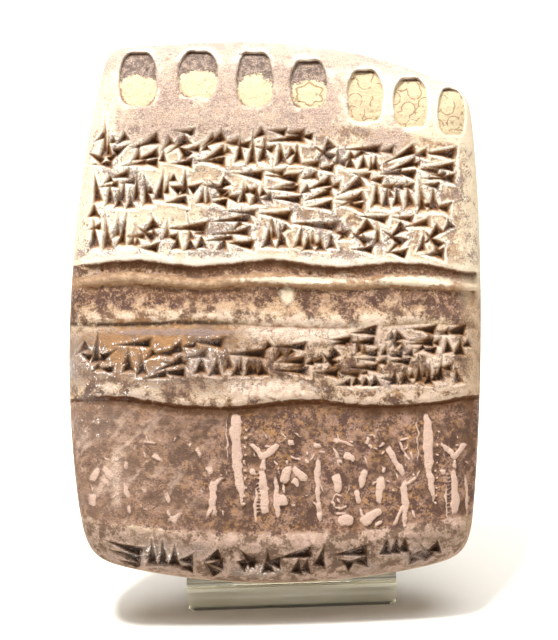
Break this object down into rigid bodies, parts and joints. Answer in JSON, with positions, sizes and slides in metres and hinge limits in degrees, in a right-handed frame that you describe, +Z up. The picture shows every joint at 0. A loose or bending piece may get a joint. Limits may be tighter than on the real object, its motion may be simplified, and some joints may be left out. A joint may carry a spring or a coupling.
{
  "type": "cuneiform tablet on a display easel",
  "caption": "Pillow-shaped clay tablet with stamped top, rows of wedge strokes and a rolled seal picture, leaning on a clear bent-sheet easel.",
  "frame": {"origin": "on the surface the easel stands on, under the middle of the bounding box", "axes": "+Z up, -Y the way the written face looks, +X to the right of someone who faces the written face"},
  "size_m": [0.0898, 0.0526, 0.1222],
  "materials": {
    "clay": "dry baked clay, pale where it is rubbed and brown in the hollows",
    "clear_acrylic": "clear, polished, a little olive through its edges"
  },
  "bodies": {
    "root": {"tablet": "clay", "easel": "clear_acrylic"}
  },
  "joints": []
}
